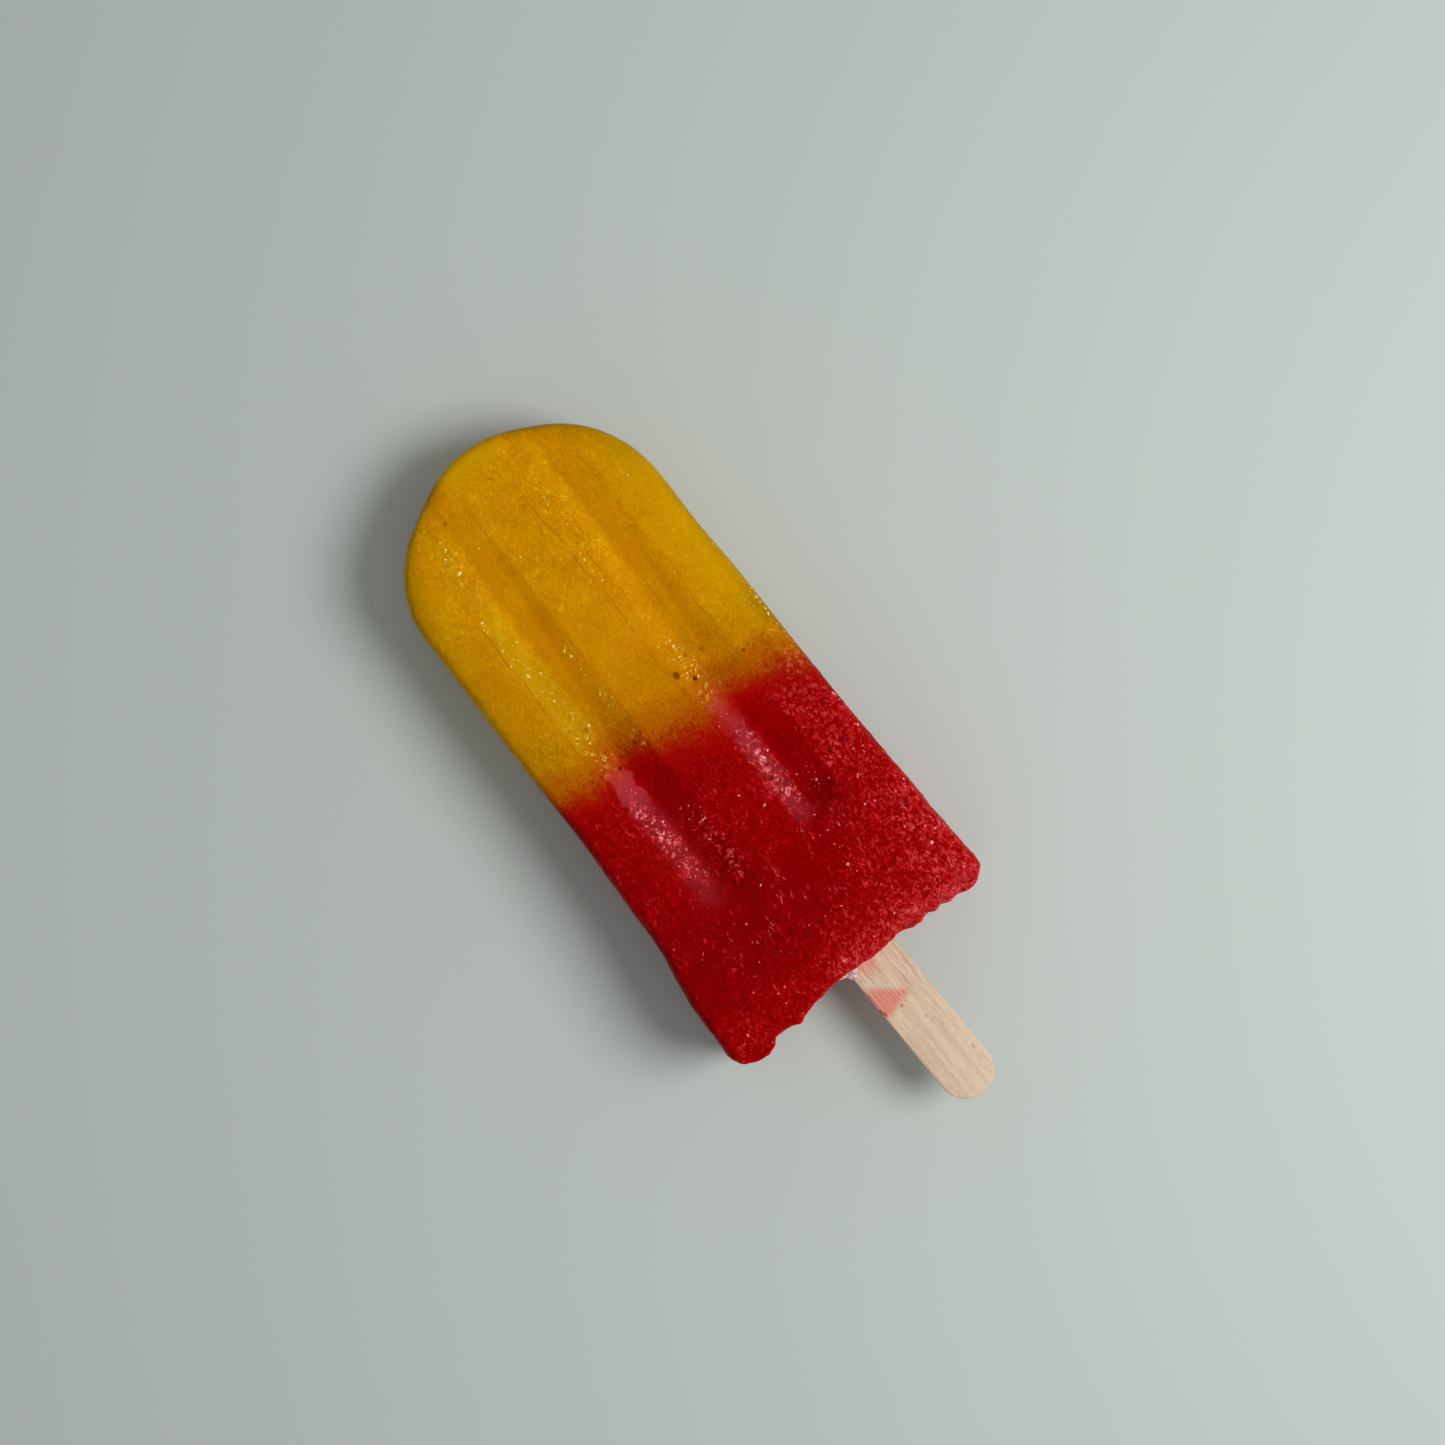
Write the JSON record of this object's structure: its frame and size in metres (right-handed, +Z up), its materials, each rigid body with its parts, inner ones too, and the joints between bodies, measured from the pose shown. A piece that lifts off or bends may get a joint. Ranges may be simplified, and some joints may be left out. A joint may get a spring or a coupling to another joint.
{
  "type": "ice pop",
  "caption": "Layered frozen fruit pop, yellow over red, with a rounded tip, fluted faces and a flat wooden stick, lying on its back.",
  "frame": {"origin": "middle of the bounding box at the surface that the pop lies on", "axes": "+Y along the pop towards its rounded tip, +X to the right seen from above with the tip away from the viewer, +Z up out of the shown face"},
  "size_m": [0.0544, 0.143, 0.0238],
  "materials": {
    "yellow_ice": "frozen yellow fruit puree, slightly translucent, moist and finely mottled, with small bubbles",
    "red_ice": "frozen red fruit puree, slightly translucent and moist, with fine pale ice crystals",
    "stick_wood": "plain pale birch with fine brown grain lines, matt, with a red juice stain"
  },
  "bodies": {
    "root": {"yellow_ice": "yellow_ice", "red_ice": "red_ice", "stick": "stick_wood"}
  },
  "joints": []
}
